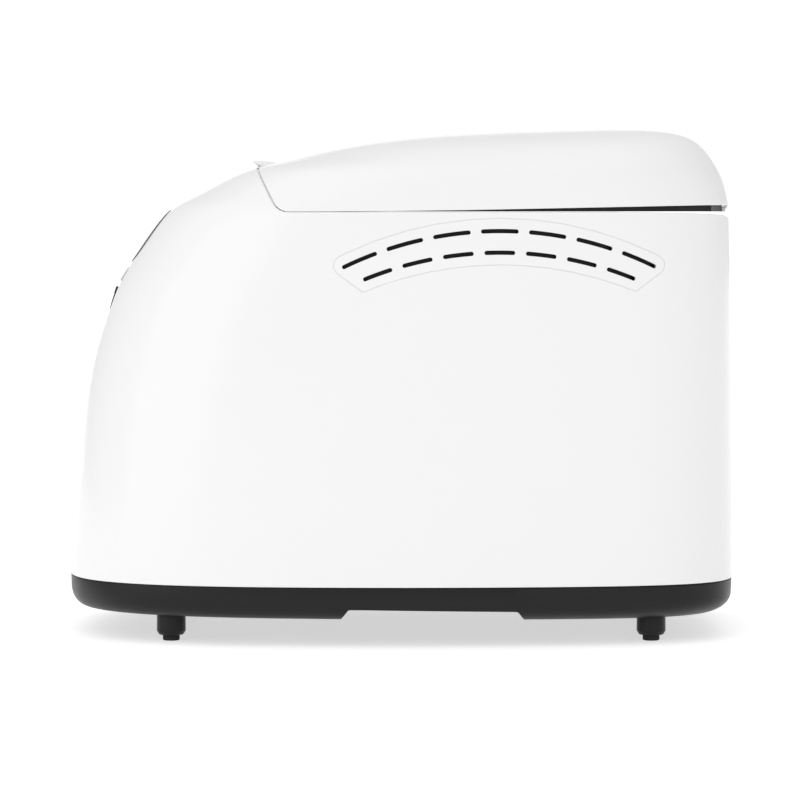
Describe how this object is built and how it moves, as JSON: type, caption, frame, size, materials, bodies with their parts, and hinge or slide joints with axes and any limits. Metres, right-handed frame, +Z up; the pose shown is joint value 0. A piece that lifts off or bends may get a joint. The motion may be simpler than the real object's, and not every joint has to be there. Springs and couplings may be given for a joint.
{
  "type": "bread machine",
  "caption": "Countertop bread machine: rounded white shell, hinged lid, side vents, charcoal base on feet, oven chamber with pan, paddle and belt drive.",
  "frame": {"origin": "on the table surface under the middle of the machine", "axes": "+Z up, -Y towards the control panel at the front, +X to the right seen from the front"},
  "size_m": [0.232, 0.36, 0.2721],
  "materials": {
    "white_plastic": "glossy white moulded ABS",
    "vent_plastic": "white moulded ABS, slightly softer gloss",
    "charcoal_plastic": "charcoal satin moulded plastic",
    "panel_gloss": "black high-gloss fascia",
    "display_glass": "smoked clear display window",
    "key_plastic": "light grey key tops",
    "start_button": "dark satin button",
    "button_trim": "dark gloss ring",
    "foot_rubber": "black rubber",
    "steel_sheet": "zinc plated pressed steel",
    "oven_lining": "aluminised steel oven lining",
    "pan_coating": "dark non-stick coating on aluminium",
    "steel_wire": "bright steel wire and turned steel",
    "heater_sheath": "heat-darkened heater sheath",
    "motor_steel": "grey motor end caps",
    "pulley_plastic": "natural acetal pulleys",
    "belt_rubber": "black toothed belt rubber",
    "board_green": "green circuit board",
    "component_black": "black component plastic",
    "seal_rubber": "red-brown silicone seal"
  },
  "bodies": {
    "cabinet": {"base_tray": "charcoal_plastic", "outer_housing": "white_plastic", "vent_panel_left": "vent_plastic", "vent_panel_right": "vent_plastic", "control_panel": "panel_gloss", "display_window": "display_glass", "start_button_ring": "button_trim", "chamber_liner": "oven_lining", "chassis_plate": "steel_sheet", "heating_element": "heater_sheath", "temperature_sensor": "steel_wire", "thermal_fuse": "steel_wire", "shaft_bearing": "steel_sheet", "motor_core": "steel_sheet", "motor_lower_cap": "motor_steel", "motor_upper_cap": "motor_steel", "run_capacitor": "component_black", "control_board": "board_green", "buzzer": "component_black", "power_board": "board_green", "power_transformer": "component_black", "power_inlet": "component_black", "hinge_bracket_left": "white_plastic", "hinge_bracket_right": "white_plastic", "hinge_pin_left": "steel_wire", "hinge_pin_right": "steel_wire", "drive_belt": "belt_rubber", "rubber_foot_front_left": "foot_rubber", "base_screw_front_left": "steel_wire", "rubber_foot_front_right": "foot_rubber", "base_screw_front_right": "steel_wire", "rubber_foot_rear_left": "foot_rubber", "base_screw_rear_left": "steel_wire", "rubber_foot_rear_right": "foot_rubber", "base_screw_rear_right": "steel_wire"},
    "lid": {"lid_shell": "white_plastic", "lid_liner": "oven_lining", "lid_edge_frame": "charcoal_plastic", "lid_handle": "white_plastic", "hinge_arm_left": "white_plastic", "hinge_arm_right": "white_plastic"},
    "start_stop_button": {"start_stop_button": "start_button"},
    "menu_button": {"menu_button": "key_plastic"},
    "crust_button": {"crust_button": "key_plastic"},
    "loaf_size_button": {"loaf_size_button": "key_plastic"},
    "timer_plus_button": {"timer_plus_button": "key_plastic"},
    "timer_minus_button": {"timer_minus_button": "key_plastic"},
    "main_drive": {"large_pulley": "pulley_plastic", "main_shaft": "steel_wire", "drive_coupling": "steel_sheet"},
    "motor_rotor": {"motor_pulley": "pulley_plastic", "motor_shaft": "steel_wire"},
    "pan": {"bread_pan": "pan_coating", "pan_foot_ring": "steel_sheet", "pan_shaft_seal": "seal_rubber"},
    "paddle_shaft": {"pan_shaft": "steel_wire", "kneading_paddle": "pan_coating"},
    "pan_handle": {"pan_handle": "steel_wire"}
  },
  "joints": [
    {"name": "lid_hinge", "type": "hinge", "parent": "cabinet", "child": "lid", "pos_m": [0, 0.1725, 0.231], "axis": [-1, 0, 0], "range_deg": [0, 95]},
    {"name": "start_stop_press", "type": "slide", "parent": "cabinet", "child": "start_stop_button", "axis": [0, 0.952, -0.306], "range_m": [0, 0.0015], "stiffness_N_per_m": 300, "springref_m": -0.0005},
    {"name": "menu_press", "type": "slide", "parent": "cabinet", "child": "menu_button", "axis": [0, 0.8331, -0.5531], "range_m": [0, 0.0008], "stiffness_N_per_m": 400, "springref_m": -0.0005},
    {"name": "crust_press", "type": "slide", "parent": "cabinet", "child": "crust_button", "axis": [0, 0.8331, -0.5531], "range_m": [0, 0.0008], "stiffness_N_per_m": 400, "springref_m": -0.0005},
    {"name": "loaf_size_press", "type": "slide", "parent": "cabinet", "child": "loaf_size_button", "axis": [0, 0.8331, -0.5531], "range_m": [0, 0.0008], "stiffness_N_per_m": 400, "springref_m": -0.0005},
    {"name": "timer_plus_press", "type": "slide", "parent": "cabinet", "child": "timer_plus_button", "axis": [0, 0.8331, -0.5531], "range_m": [0, 0.0008], "stiffness_N_per_m": 400, "springref_m": -0.0005},
    {"name": "timer_minus_press", "type": "slide", "parent": "cabinet", "child": "timer_minus_button", "axis": [0, 0.8331, -0.5531], "range_m": [0, 0.0008], "stiffness_N_per_m": 400, "springref_m": -0.0005},
    {"name": "main_drive_spin", "type": "hinge", "parent": "cabinet", "child": "main_drive", "pos_m": [0, 0.055, 0.03], "axis": [0, 0, 1], "continuous": true},
    {"name": "motor_spin", "type": "hinge", "parent": "cabinet", "child": "motor_rotor", "pos_m": [0, -0.092, 0.03], "axis": [0, 0, 1], "continuous": true},
    {"name": "pan_lift", "type": "slide", "parent": "cabinet", "child": "pan", "axis": [0, 0, 1], "range_m": [0, 0.012]},
    {"name": "paddle_spin", "type": "hinge", "parent": "pan", "child": "paddle_shaft", "pos_m": [0, 0.055, 0.075], "axis": [0, 0, 1], "continuous": true},
    {"name": "bail_swing", "type": "hinge", "parent": "pan", "child": "pan_handle", "pos_m": [0, 0.055, 0.2085], "axis": [-1, 0, 0], "range_deg": [0, 18]}
  ],
  "couplings": [
    {"joint": "motor_spin", "follows": "main_drive_spin", "ratio": 4.6667},
    {"joint": "paddle_spin", "follows": "main_drive_spin", "ratio": 1}
  ]
}
